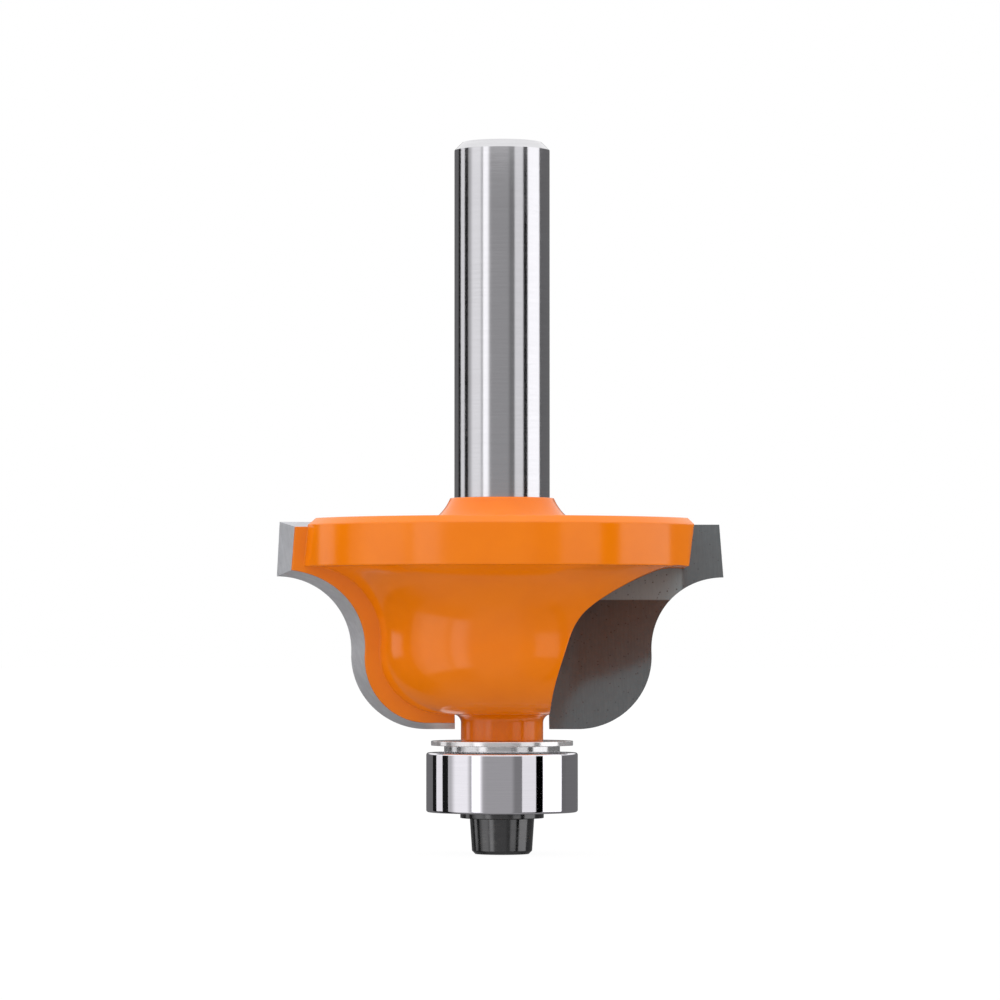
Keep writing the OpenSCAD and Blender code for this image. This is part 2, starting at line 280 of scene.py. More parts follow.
@dataclass
class Profile:
    """A half section that is drawn corner by corner, radius and height in millimetres."""

    points: list[Point] = field(default_factory=list)
    doubled: float = 1e-6
    smooth_bend: float = math.radians(14)
    least_reach: float = 0.002
    rounding_steps: int = 4

    def to(self, *corners: Point) -> "Profile":
        """Adds straight stretches to the given corners."""
        self.points.extend(corners)
        return self

    def arc(
        self, centre: Point, radius: float | Point, start: float, end: float, steps: int
    ) -> "Profile":
        """Adds an arc.

        Args:
            centre: Radius and height of the arc's centre.
            radius: The arc's radius, or its half axes across and along.
            start: The angle of its first point, in degrees from outwards.
            end: The angle of its last point.
            steps: How many stretches it has.

        Returns:
            The profile itself.
        """
        across, along = radius if isinstance(radius, tuple) else (radius, radius)
        for i in range(steps + 1):
            a = math.radians(start + (end - start) * i / steps)
            self.to((centre[0] + across * math.cos(a), centre[1] + along * math.sin(a)))
        return self

    def through(self, corners: Sequence[Point], steps: int) -> "Profile":
        """Adds a smooth curve through the given points.

        Args:
            corners: The points that the curve goes through.
            steps: How many stretches it has between two of them.

        Returns:
            The profile itself.
        """
        marks = [Vector(corner) for corner in (corners[0], *corners, corners[-1])]
        for a, b, c, d in zip(marks, marks[1:], marks[2:], marks[3:], strict=False):
            for i in range(steps):
                t = i / steps
                bend = (2 * a - 5 * b + 4 * c - d) * t**2 + (3 * b - a - 3 * c + d) * t**3
                self.to(tuple(b + ((c - a) * t + bend) / 2))
        return self.to(corners[-1])

    def softened(self, radius: float, closed: bool) -> list[Point]:
        """Rounds each corner that is sharper than a smooth curve's.

        Args:
            radius: The radius of the rounding.
            closed: Whether the section is a closed ring.

        Returns:
            The corners of the softened section.
        """
        soft: list[Point] = []
        pairs = zip(self.points, self.points[-1:] + self.points, strict=False)
        corners = [p for p, q in pairs if math.dist(p, q) > self.doubled]
        count = len(corners)
        for i, corner in enumerate(corners):
            here = Vector(corner)
            before = Vector(corners[i - 1]) - here
            after = Vector(corners[(i + 1) % count]) - here
            bend = math.pi - before.angle(after)
            reach = min(radius * math.tan(bend / 2), 0.45 * before.length, 0.45 * after.length)
            ends = not closed and i in (0, count - 1)
            if ends or bend < self.smooth_bend or reach < self.least_reach:
                soft.append(corner)
                continue
            start = here + before.normalized() * reach
            end = here + after.normalized() * reach
            for k in range(self.rounding_steps + 1):
                t = k / self.rounding_steps
                p = start * (1 - t) ** 2 + here * 2 * t * (1 - t) + end * t**2
                soft.append((p.x, p.y))
        return soft

    def turned(self, name: str, softness: float, steps: int, closed: bool = True) -> Solid:
        """Turns the softened section into a solid.

        Args:
            name: The new object's name.
            softness: The radius of its softened edges.
            steps: How many steps make the full turn.
            closed: Whether the section is a ring that keeps off the axis.

        Returns:
            The turned solid.
        """
        return turn(name, self.softened(softness, closed), steps, closed)


# Node helpers


class Graph:
    """Adds and joins the nodes of one tree, and lays them out in rows."""

    spacing = (190, -260)
    row_length = 14

    def __init__(self, tree: bpy.types.NodeTree) -> None:
        """Starts on a tree.

        Args:
            tree: The tree that the nodes go into.
        """
        self.tree = tree
        self.count = 0

    @classmethod
    def of(cls, owner: "Material | bpy.types.World") -> "Graph":
        """Empties the tree of a material or a world, and starts on it.

        Args:
            owner: The material or the world.

        Returns:
            The graph.
        """
        owner.use_nodes = True
        owner.node_tree.nodes.clear()
        return cls(owner.node_tree)

    def add(self, kind: str, given: dict | None = None, **settings: object) -> bpy.types.Node:
        """Adds a node, sets its properties and feeds its inputs.

        Args:
            kind: The node's type.
            given: What its inputs get, by their names or numbers.
            **settings: Its properties.

        Returns:
            The node.
        """
        node = self.tree.nodes.new(kind)
        for key, value in settings.items():
            setattr(node, key, value)
        for key, value in (given or {}).items():
            self.feed(node.inputs[key], value)
        row, column = divmod(self.count, self.row_length)
        node.location = (self.spacing[0] * column, self.spacing[1] * row)
        self.count += 1
        return node

    def feed(self, socket: Socket, value: object) -> None:
        """Sets an input to a number or colour, or links it to an output.

        Args:
            socket: The input.
            value: A number, a colour, a vector or an output socket.
        """
        if isinstance(value, Socket):
            self.tree.links.new(value, socket)
        elif isinstance(value, tuple) and socket.type == "RGBA":
            socket.default_value = (*value, 1.0)
        else:
            socket.default_value = value

    def math(self, operation: str, *inputs: object, clamp: bool = False) -> Socket:
        """Adds a Math node.

        Args:
            operation: What it does.
            *inputs: Its inputs, numbers or outputs of other nodes.
            clamp: Whether its result stays between 0 and 1.

        Returns:
            Its output.
        """
        given = dict(enumerate(inputs))
        return self.add("ShaderNodeMath", given, operation=operation, use_clamp=clamp).outputs[0]

    def times(self, first: object, second: object) -> Socket:
        """Multiplies two numbers."""
        return self.math("MULTIPLY", first, second)

    def plus(self, first: object, second: object, clamp: bool = False) -> Socket:
        """Adds two numbers, and keeps the sum between 0 and 1 if asked."""
        return self.math("ADD", first, second, clamp=clamp)

    def cross(self, share: object, first: object, second: object) -> Socket:
        """Crosses from one number to another by a share of the second."""
        kept = self.times(first, self.math("SUBTRACT", 1.0, share))
        return self.plus(kept, self.times(share, second))

    def ramp(self, value: object, low: float, high: float, to: Point = (0.0, 1.0)) -> Socket:
        """Maps a range smoothly onto another one.

        Args:
            value: The value to map.
            low: Where the range starts.
            high: Where it ends.
            to: What its ends become.

        Returns:
            The mapped value.
        """
        given = {"Value": value, "From Min": low, "From Max": high}
        given |= {"To Min": to[0], "To Max": to[1]}
        return self.add("ShaderNodeMapRange", given, interpolation_type="SMOOTHSTEP").outputs[0]

    def blend(self, share: object, first: object, second: object) -> Socket:
        """Mixes two colours by a share of the second."""
        given = {0: share, 6: first, 7: second}
        return self.add("ShaderNodeMix", given, data_type="RGBA").outputs[2]

    def noise(self, vector: object, scale: float, detail: float) -> Socket:
        """Gives the value of a Noise Texture."""
        given = {"Vector": vector, "Scale": scale, "Detail": detail}
        return self.add("ShaderNodeTexNoise", given).outputs[0]

    def put_out(
        self, kind: str, share: object, first: bpy.types.Node, second: bpy.types.Node
    ) -> None:
        """Mixes two shaders and joins them to an output.

        Args:
            kind: The output's type.
            share: How much of the second shader there is.
            first: The first shader.
            second: The second shader.
        """
        mix = self.add("ShaderNodeMixShader", {0: share, 1: first.outputs[0], 2: second.outputs[0]})
        self.add(kind, {"Surface": mix.outputs[0]})


class Effect:
    """A node group that several finishes share.

    Attributes:
        graph: The group's own graph.
        given: The outputs of its input node.
        made: The inputs of its output node.
    """

    title = ""
    numbers: tuple[tuple[str, float], ...] = ()
    outputs: tuple[str, ...] = ()

    def __init__(self) -> None:
        """Builds the group once."""
        self.tree = bpy.data.node_groups.new(self.title, "ShaderNodeTree")
        socket = self.tree.interface.new_socket
        socket("Vector", in_out="INPUT", socket_type="NodeSocketVector")
        for name, value in self.numbers:
            socket(name, in_out="INPUT", socket_type="NodeSocketFloat").default_value = value
        for name in self.outputs:
            socket(name, in_out="OUTPUT", socket_type="NodeSocketFloat")
        self.graph = Graph(self.tree)
        self.given = self.graph.add("NodeGroupInput").outputs
        self.made = self.graph.add("NodeGroupOutput").inputs
        self.draw()

    def draw(self) -> None:
        """Fills the group with nodes."""
        raise NotImplementedError

    def use(self, graph: Graph, **values: object) -> dict[str, Socket]:
        """Places the group in a material.

        Args:
            graph: The material's graph.
            **values: Its inputs.

        Returns:
            Its outputs by name.
        """
        node = graph.add("ShaderNodeGroup", values, node_tree=self.tree)
        return {socket.name: socket for socket in node.outputs}


class GrindingLines(Effect):
    """Fine parallel lines left by a grinding wheel, long one way and narrow the other."""

    title = "grinding_lines"
    numbers = (("Fine", 1.0), ("Coarse", 0.5))
    outputs = ("Lines",)

    def draw(self) -> None:
        """Adds a fine and a coarse set of streaks."""
        graph, given = self.graph, self.given
        fine = graph.noise(given["Vector"], 26.0, 3.0)
        coarse = graph.noise(given["Vector"], 7.0, 2.0)
        fine = graph.times(graph.math("SUBTRACT", fine, 0.5), given["Fine"])
        coarse = graph.times(graph.math("SUBTRACT", coarse, 0.5), given["Coarse"])
        graph.feed(self.made["Lines"], graph.plus(graph.plus(fine, coarse), 0.5, clamp=True))


class Mottle(Effect):
    """Cloudy patches and small dark pits, as in sintered or blackened metal."""

    title = "mottle"
    numbers = (("Pits", 1.0),)
    outputs = ("Clouds", "Pits")

    def draw(self) -> None:
        """Adds the patches and the pits."""
        graph, place = self.graph, self.given["Vector"]
        graph.feed(self.made["Clouds"], graph.ramp(graph.noise(place, 1.6, 5.0), 0.3, 0.7))
        cells = graph.add("ShaderNodeTexVoronoi", {"Vector": place, "Scale": 3.2})
        spots = graph.ramp(cells.outputs["Distance"], 0.1, 0.3, (1.0, 0.0))
        rare = graph.ramp(graph.noise(place, 2.3, 1.0), 0.5, 0.62)
        graph.feed(self.made["Pits"], graph.times(graph.times(spots, rare), self.given["Pits"]))


class Handling(Effect):
    """Faint smears and dust that vary a surface's gloss."""

    title = "handling"
    numbers = (("Amount", 0.02),)
    outputs = ("Gloss Loss",)

    def draw(self) -> None:
        """Adds broad smears with a finer veil."""
        graph, place = self.graph, self.given["Vector"]
        smear = graph.ramp(graph.noise(place, 0.22, 3.0), 0.4, 0.75)
        veil = graph.ramp(graph.noise(place, 3.0, 3.0), 0.45, 0.8)
        total = graph.plus(smear, graph.times(veil, 0.4))
        graph.feed(self.made["Gloss Loss"], graph.times(total, self.given["Amount"]))


# Finishes


@dataclass(frozen=True)
class Effects:
    """The shared node groups."""

    lines: GrindingLines = field(default_factory=GrindingLines)
    mottle: Mottle = field(default_factory=Mottle)
    handling: Handling = field(default_factory=Handling)


@dataclass(frozen=True)
class Surface:
    """A material while it is dressed.

    Attributes:
        graph: Its graph.
        effects: The shared node groups.
        shader: Its shader.
        place: The object's coordinates in metres.
        place_mm: The same in millimetres.
    """

    graph: Graph
    effects: Effects
    shader: bpy.types.Node
    place: Socket
    place_mm: Socket

    def feed(self, name: str, value: object) -> None:
        """Sets or links one of the shader's inputs."""
        self.graph.feed(self.shader.inputs[name], value)

    def lines(self, scale: Point3, fine: float, coarse: float) -> Socket:
        """Gives grinding lines.

        Args:
            scale: The factor on the coordinates along each axis.
            fine: How strong the fine lines are.
            coarse: How strong the coarse lines are.

        Returns:
            The lines, from 0 to 1.
        """
        placed = self.graph.add("ShaderNodeMapping", {"Vector": self.place, "Scale": scale})
        given = {"Vector": placed.outputs[0], "Fine": fine, "Coarse": coarse}
        return self.effects.lines.use(self.graph, **given)["Lines"]

    def spots(self, pits: float) -> dict[str, Socket]:
        """Gives clouds and a share of pits."""
        return self.effects.mottle.use(self.graph, Vector=self.place_mm, Pits=pits)

    def smears(self, amount: float) -> Socket:
        """Gives the gloss that handling takes away."""
        veil = self.effects.handling.use(self.graph, Vector=self.place_mm, Amount=amount)
        return veil["Gloss Loss"]


@dataclass(frozen=True)
class Finish:
    """What every finish has in common.

    Attributes:
        name: The material's name.
        colour: The base colour.
        roughness: The mean roughness.
        metallic: How metallic it is.
        edge: The radius to which the shading softens an edge, in millimetres.
    """

    name: str
    colour: Colour
    roughness: float
    metallic: float
    edge: float

    def build(self, effects: Effects) -> Material:
        """Builds the material.

        Args:
            effects: The shared node groups.

        Returns:
            The new material.
        """
        material = bpy.data.materials.new(self.name)
        graph = Graph.of(material)
        plain = {"Base Color": self.colour, "Roughness": self.roughness}
        shader = graph.add("ShaderNodeBsdfPrincipled", plain | {"Metallic": self.metallic})
        place = graph.add("ShaderNodeTexCoord").outputs["Object"]
        scaled = graph.add("ShaderNodeMapping", {"Vector": place, "Scale": (1 / MM,) * 3})
        self.dress(Surface(graph, effects, shader, place, scaled.outputs[0]))
        graph.add("ShaderNodeOutputMaterial", {"Surface": shader.outputs[0]})
        material.diffuse_color = (*self.colour, 1.0)
        material.roughness = self.roughness
        material.metallic = self.metallic
        return material

    def toned(self, colour: Colour, factor: float) -> Colour:
        """Gives a darker or lighter tone of a colour."""
        return tuple(c * factor for c in colour)

    def relieve(self, on: Surface, height: object, depth: float) -> None:
        """Softens the edges in the shading and adds a relief.

        Args:
            on: The material.
            height: The relief, from 0 to 1.
            depth: The relief's depth, in millimetres.
        """
        bevel = on.graph.add("ShaderNodeBevel", {"Radius": self.edge * MM}, samples=6)
        given = {"Strength": 1.0, "Distance": depth * MM, "Height": height}
        bump = on.graph.add("ShaderNodeBump", given | {"Normal": bevel.outputs[0]})
        on.feed("Normal", bump.outputs[0])

    def dress(self, on: Surface) -> None:
        """Adds what makes this finish.

        Args:
            on: The material.
        """
        raise NotImplementedError


@dataclass(frozen=True)
class GlossPaint(Finish):
    """Stoved gloss paint: an even colour, a faint orange peel and a clear sheen.

    Attributes:
        deep: The colour where the paint lies thicker.
        peel: The depth of the orange peel, in millimetres.
    """

    deep: Colour
    peel: float = 0.002

    def dress(self, on: Surface) -> None:
        """Adds the colour's drift, the peel and the smears.

        Args:
            on: The material.
        """
        graph = on.graph
        drift = graph.ramp(graph.noise(on.place_mm, 0.35, 2.0), 0.35, 0.7)
        on.feed("Base Color", graph.blend(drift, self.colour, self.deep))
        on.feed("Roughness", graph.plus(on.smears(0.04), self.roughness))
        self.relieve(on, graph.noise(on.place_mm, 1.1, 1.0), self.peel)


@dataclass(frozen=True)
class GroundSteel(Finish):
    """Cylindrically ground steel, with fine lines that run round the axis.

    Attributes:
        depth: The depth of the lines, in millimetres.
        fine: How strong the fine lines are.
        smear: How much handling dulls it.
    """

    depth: float = 0.0012
    fine: float = 1.0
    smear: float = 0.03

    def dress(self, on: Surface) -> None:
        """Adds the lines, a slight drift of colour and the smears.

        Args:
            on: The material.
        """
        graph = on.graph
        lines = on.lines((25.0, 25.0, 1000.0), self.fine, 0.6)
        on.feed("Base Color", graph.blend(lines, self.toned(self.colour, 0.86), self.colour))
        rough = graph.plus(graph.times(lines, 0.04), self.roughness - 0.02)
        on.feed("Roughness", graph.plus(rough, on.smears(self.smear)))
        self.relieve(on, lines, self.depth)


@dataclass(frozen=True)
class Carbide(Finish):
    """Ground tungsten carbide: grinding lines, cloudy grain and small pits.

    Attributes:
        grain: The scale of the lines' coordinates along each axis.
        pits: How many pits show.
        pit_colour: The colour of the pits.
        contrast: How strong the lines are in the colour.
        reflection_band: Where a painted reflection starts and ends along the axis, in millimetres.
        reflection_band_reach: How far the band reaches from the axis, in millimetres.
        reflection_band_colour: The band's paler colour, a painted reflection.
        reflection_band_dulled: How much rougher and more matt the band is than the rest.
    """

    grain: Point3
    pits: float
    pit_colour: Colour = (0.05, 0.05, 0.05)
    contrast: float = 0.3
    reflection_band: Point | None = None
    reflection_band_reach: float = 15.5
    reflection_band_colour: Colour = (0.26, 0.34, 0.36)
    reflection_band_dulled: float = 0.3

    def dress(self, on: Surface) -> None:
        """Adds the lines, the clouds, the pits and a band of painted reflection.

        Args:
            on: The material.
        """
        graph = on.graph
        lines = on.lines(self.grain, 1.0, 0.8)
        spots = on.spots(self.pits)
        dark = self.toned(self.colour, 1 - self.contrast)
        lined = graph.blend(lines, dark, self.colour)
        colour = graph.blend(graph.times(spots["Clouds"], 0.35), lined, dark)
        rough = graph.plus(graph.times(lines, 0.12), self.roughness - 0.06)
        # A rougher, less metallic band under the rim; its paler colour is a painted reflection.
        if self.reflection_band:
            share = self.reflection_band_share(on)
            veined_reflection = graph.blend(lines, self.toned(self.reflection_band_colour, 0.8), self.reflection_band_colour)
            colour = graph.blend(share, colour, veined_reflection)
            rough = graph.plus(rough, graph.times(share, self.reflection_band_dulled))
            on.feed("Metallic", graph.times(graph.math("SUBTRACT", 1.0, share), self.metallic))
        on.feed("Base Color", graph.blend(spots["Pits"], colour, self.pit_colour))
        on.feed("Roughness", rough)
        self.relieve(on, graph.math("SUBTRACT", lines, graph.times(spots["Pits"], 1.5)), 0.0015)

    def reflection_band_share(self, on: Surface) -> Socket:
        """Masks the paler band of painted reflection that runs along the blade under the rim.

        Args:
            on: The material.

        Returns:
            How much of the painted reflection shows.
        """
        graph = on.graph
        x, _, z = graph.add("ShaderNodeSeparateXYZ", {0: on.place_mm}).outputs
        low, high = self.reflection_band
        starts = graph.ramp(z, low, low + 0.16)
        ends = graph.ramp(z, high - 0.3, high, (1.0, 0.0))
        out = graph.math("ABSOLUTE", x)
        near = graph.ramp(out, self.reflection_band_reach - 0.5, self.reflection_band_reach, (1.0, 0.0))
        return graph.times(graph.times(starts, ends), near)


@dataclass(frozen=True)
class BlackOxide(Finish):
    """Blackened steel with a half-gloss, oily look.

    Attributes:
        worn: The colour where the blackening is thin.
    """

    worn: Colour = (0.165, 0.165, 0.16)

    def dress(self, on: Surface) -> None:
        """Adds thin places, turning lines and a soft grain.

        Args:
            on: The material.
        """
        graph = on.graph
        lines = on.lines((40.0, 40.0, 700.0), 0.8, 0.5)
        clouds = on.spots(0.4)["Clouds"]
        thin = graph.times(clouds, graph.ramp(lines, 0.4, 0.8))
        on.feed("Base Color", graph.blend(thin, self.colour, self.worn))
        on.feed("Roughness", graph.plus(graph.times(clouds, 0.08), self.roughness))
        self.relieve(on, lines, 0.001)


def build_finishes() -> dict[str, Material]:
    """Builds the shared effects and then every finish.

    Returns:
        The materials by name.
    """
    ring = {"depth": 0.0002, "fine": 0.5, "smear": 0.01}
    # The rake's paler band, 21.2 to 24.3 mm up, is a painted reflection.
    rake = {"grain": (900.0, 60.0, 60.0), "pits": 0.9, "reflection_band": (21.2, 24.3)}
    relief = {"grain": (90.0, 900.0, 90.0), "pits": 0.15}
    finishes: tuple[Finish, ...] = (
        GlossPaint("orange_paint", (0.89, 0.211, 0.0), 0.13, 0.0, 0.16, deep=(0.865, 0.2, 0.0)),
        GroundSteel("ground_shank", (0.8, 0.795, 0.815), 0.11, 1.0, 0.05),
        GroundSteel("polished_ring", (0.975, 0.955, 1.0), 0.045, 1.0, 0.05, **ring),
        GroundSteel("bright_spacer", (0.98, 0.98, 0.98), 0.12, 0.72, 0.04),
        GroundSteel("pressed_shield", (0.62, 0.62, 0.64), 0.34, 1.0, 0.04, smear=0.06),
        GroundSteel("cage_brass", (0.75, 0.56, 0.26), 0.3, 1.0, 0.03, smear=0.05),
        Carbide("carbide_rake", (0.12, 0.134, 0.14), 0.13, 0.35, 0.03, **rake),
        Carbide("carbide_relief", (0.62, 0.63, 0.65), 0.4, 0.4, 0.03, **relief),
        BlackOxide("black_oxide", (0.125, 0.125, 0.126), 0.12, 0.92, 0.05),
    )
    effects = Effects()
    return {finish.name: finish.build(effects) for finish in finishes}


# The pieces of the bit


@dataclass
class Piece:
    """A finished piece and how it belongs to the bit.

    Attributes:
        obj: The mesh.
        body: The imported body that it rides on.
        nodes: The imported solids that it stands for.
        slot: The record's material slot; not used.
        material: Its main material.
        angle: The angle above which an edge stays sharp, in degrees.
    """

    obj: Solid
    body: str
    nodes: tuple[str, ...]
    slot: str
    material: Material
    angle: float = 32.0

    def settle(self) -> None:
        """Brings the mesh to metres, shades it, dresses it and hands it over."""
        activate(self.obj)
        self.obj.scale = (MM, MM, MM)
        bpy.ops.object.transform_apply(location=True, rotation=True, scale=True)
        bpy.ops.object.shade_smooth_by_angle(angle=math.radians(self.angle))
        if not self.obj.data.materials:
            self.obj.data.materials.append(self.material)
        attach(self.obj, self.body)
        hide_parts(*self.nodes)
        LOG.info("%s: %d faces", self.obj.name, len(self.obj.data.polygons))


@dataclass
class Heights:
    """Heights along the axis, from the screw's free end up, in millimetres."""

    washer: float = 3.0
    bearing: float = 3.5
    step: float = 8.478
    flange: float = 9.058
    neck: float = 9.458
    blade: float = 10.428
    bell: float = 11.678
    waist: float = 16.778
    cove: float = 16.828
    blade_top: float = 27.678
    rim: float = 23.978
    rim_top: float = 27.978
    collar_top: float = 29.778
    shank_top: float = 59.678

    @property
    def bearing_middle(self) -> float:
        """The height of the balls' centres."""
        return (self.bearing + self.step) / 2


@dataclass
class Blades:
    """The cutting outline, its relief, and the spaces milled in front of it."""

    heights: Heights
    bead_centre_r: float = 6.35
    bead_r: float = 6.35
    cutting_r: float = 19.05
    cove_r: float = 6.35
    inner_x: float = 3.95
    slope: float = math.tan(math.radians(16))
    plane_z: float = 10.428 + 0.45
    tip_t: float = 1.33
    wing_t: float = 0.12
    wing_start: float = -0.3
    tip_relief: Point3 = (0.88, 0.53, 0.42)
    wing_relief: Point3 = (0.93, 0.56, 0.45)
    wall: tuple[Point, ...] = (
        (15.4, 23.98),
        (13.3, 23.88),
        (10.1, 22.46),
        (7.3, 20.66),
        (5.98, 19.09),
        (5.14, 16.8),
        (4.33, 14.1),
        (3.97, 12.0),
        (3.84, 10.1),
    )
    flat_lean: float = 7.5
    rim_corner: float = 0.52
    margin: float = 0.04
    outside: float = 40.0
    above: float = 36.0
    below: float = 6.0
    steps: int = 40

    def section(self, relief: Point3, behind: float) -> list[Point3]:
        """Draws the cutting outline, drawn in by a relief, on a plane behind the rake face.

        Args:
            relief: Clearance on the radius, along the axis, and at the top.
            behind: Distance behind the rake face.

        Returns:
            The outline's corners.
        """
        h = self.heights
        cr, cz, top = relief
        bead, cove = self.bead_r, self.cove_r
        sweep = 90 - math.degrees(math.asin(cr / (cove + cr)))
        edge = Profile()
        edge.arc((self.bead_centre_r, h.waist), (bead - cr, bead - cz), -90, 0, self.steps)
        edge.arc((self.cutting_r, h.cove), (cove + cr, cove + cz), 180, 180 - sweep, self.steps)
        edge.to((self.cutting_r - cr, h.blade_top - top))
        corners = [self.inside(h.blade_top - top, behind), self.inside(h.blade + cz, behind)]
        for r, z in edge.points:
            y = self.plane_y(z, behind)
            corners.append((math.sqrt(r * r - y * y), y, z))
        return corners

    def plane_y(self, z: float, behind: float) -> float:
        """Gives where a plane behind the rake face lies at a height."""
        return self.slope * (z - self.plane_z) + behind

    def inside(self, z: float, behind: float) -> Point3:
        """Gives the outline's inner corner at a height."""
        return (self.inner_x, self.plane_y(z, behind), z)

    @property
    def rake_normal(self) -> Vector:
        """The rake face's normal, away from the chips."""
        return Vector((0.0, 1.0, -self.slope)).normalized()

    def milled_outline(self, margin: float, from_x: float) -> list[Point]:
        """Draws the side view of the space that the gullet's cutter sweeps.

        Args:
            margin: How far its wall stands back.
            from_x: Where its inner side is cut off straight.

        Returns:
            The outline's corners, along the blade and up.
        """
        edge = Profile().through([(max(x + margin, from_x), z - margin) for x, z in self.wall], 12)
        foot, end = edge.points[0], edge.points[-1]
        edge.to((end[0], self.below), (self.outside, self.below), (self.outside, self.above))
        shoulder = self.heights.rim_top - self.rim_corner
        lean = foot[0] + (shoulder - foot[1]) * math.tan(math.radians(self.flat_lean))
        inner = lean - self.rim_corner
        return edge.to((inner, self.above), (inner, self.heights.rim_top), (lean, shoulder)).points

    def milled_space(
        self, margin: float, from_x: float = -math.inf, behind: float | None = None
    ) -> Solid:
        """Makes the space that the gullet's cutter sweeps, less a margin.

        Args:
            margin: How far its wall stands back.
            from_x: Where its inner side is cut off straight.
            behind: How far behind the rake face it ends, or right through the bit.

        Returns:
            The solid to cut with.
        """
        outline = self.milled_outline(margin, from_x)
        front = [(x, -self.outside, z) for x, z in outline]
        through = behind is None
        back = [(x, self.outside if through else self.plane_y(z, behind), z) for x, z in outline]
        return skin("milled_space", front, back)

    def gullet(self) -> Solid:
        """Makes the chip gullet of the +X blade."""
        return self.milled_space(0.0, behind=0.0)

    def seat(self) -> Solid:
        """Makes the seat of the +X blade's tip."""
        return self.milled_space(self.margin, self.inner_x, self.tip_t)

    def tip(self) -> Solid:
        """Makes the carbide tip of the +X blade."""
        front = self.section(ORIGIN, 0.0)
        tip = skin("tip_a_carbide", front, self.section(self.tip_relief, self.tip_t))
        combine(tip, self.milled_space(self.margin), Combine.KEEP_COMMON)
        return tip

    def wing(self) -> Solid:
        """Makes the thin painted backing behind the +X blade's tip, begun a little inside the tip.

        Returns:
            The backing.
        """
        front = self.section(self.tip_relief, self.tip_t)
        back = self.section(self.wing_relief, self.tip_t + self.wing_t)
        begun = [
            tuple(a + (b - a) * self.wing_start for a, b in zip(p, q, strict=True))
            for p, q in zip(front, back, strict=True)
        ]
        return skin("wing", begun, back)


@dataclass
class PaintedHead:
    """The painted bell, rim, tip backings, collar and neck, with the bare arbor below."""

    heights: Heights
    blades: Blades
    arbor_r: float = 2.37125
    arbor_setback: float = 0.2
    hole_r: float = 1.52
    hole_top: float = 12.5
    drill_lean: float = 31.0
    neck_r: float = 3.45
    neck_fillet: float = 0.7
    bell_r: float = 10.65
    bell_bead: float = 5.7
    rim_r: float = 16.15
    rim_swell: float = 1.072
    swell_band: float = 0.12
    rim_ledge: float = 0.2
    rim_chamfer: float = 0.55
    collar_r: float = 4.35
    flare_r: float = 4.0
    flare_lean: float = 22.0
    steps: int = 288

    def outline(self) -> Profile:
        """Draws the head's half section, from the screw's blind hole out and up to the collar.

        Returns:
            The section.
        """
        h = self.heights
        hollow_w = self.rim_r - self.rim_ledge - self.bell_r
        waist_z = h.bell + self.bell_bead
        hollow_h = h.rim - waist_z
        hollow_r = (hollow_w**2 + hollow_h**2) / (2 * hollow_w)
        hollow_end = math.degrees(math.asin(hollow_h / hollow_r))
        lean = math.radians(self.flare_lean)
        flare_x = self.collar_r + self.flare_r * math.cos(lean)
        flare_z = h.collar_top + self.flare_r * math.sin(lean)
        foot = math.degrees(math.asin((flare_z - h.rim_top) / self.flare_r))
        end = h.bearing + self.arbor_setback
        profile = Profile().to(
            (0.0, self.hole_top + self.hole_r * math.tan(math.radians(self.drill_lean))),
            (self.hole_r, self.hole_top),
            (self.hole_r, end),
            (self.arbor_r - self.arbor_setback, end),
            (self.arbor_r, end + self.arbor_setback),
            (self.arbor_r, h.neck),
            (self.neck_r, h.neck),
        )
        fillet = self.neck_fillet
        profile.arc((self.neck_r + fillet, h.bell - fillet), fillet, 180, 90, 8)
        profile.arc((self.bell_r - self.bell_bead, waist_z), self.bell_bead, -90, 0, 36)
        profile.arc((self.bell_r + hollow_r, waist_z), hollow_r, 180, 180 - hollow_end, 30)
        profile.to(
            (self.rim_r, h.rim),
            (self.rim_r, h.rim_top - self.rim_chamfer),
            (self.rim_r - self.rim_chamfer, h.rim_top),
        )
        profile.arc((flare_x, flare_z), self.flare_r, 180 + foot, 180 + self.flare_lean, 10)
        return profile.to((0.0, h.collar_top))

    def swell_rim(self, head: Solid) -> None:
        """Lets the rim stand further out where it backs the two tips.

        Args:
            head: The turned head.
        """
        low = self.heights.rim
        foot = self.rim_r - self.swell_band
        top = foot - self.rim_chamfer

        def is_outside(vert: bmesh.types.BMVert) -> bool:
            """Tells whether a vertex belongs to the rim's outside."""
            inner = top if vert.co.z > low + 0.3 else foot
            return vert.co.z > low - 0.01 and vert.co.xy.length > inner

        enter(head)
        pick(head, is_outside)
        bpy.ops.transform.resize(value=(self.rim_swell, 1.0, 1.0), center_override=ORIGIN)
        leave()

    def build(self, paint: Material, steel: Material) -> Piece:
        """Turns the head, adds the tips' backings, and mills the gullets and the tips' seats.

        Args:
            paint: The paint.
            steel: The ground steel of the arbor.

        Returns:
            The head.
        """
        head = self.outline().turned("painted_head", 0.09, self.steps, closed=False)
        self.swell_rim(head)
        combine_twice(head, self.blades.wing(), Combine.UNION)
        combine_twice(head, self.blades.gullet(), Combine.CUT)
        combine_twice(head, self.blades.seat(), Combine.CUT)
        for material in (paint, steel):
            head.data.materials.append(material)
        for face in head.data.polygons:
            middle = face.center
            bare = middle.z < self.heights.neck - 0.01 or middle.xy.length < self.hole_r + 0.01
            face.material_index = 1 if bare and middle.z < self.hole_top + 1 else 0
        return Piece(head, "cutter", ("body",), "painted_head", paint)


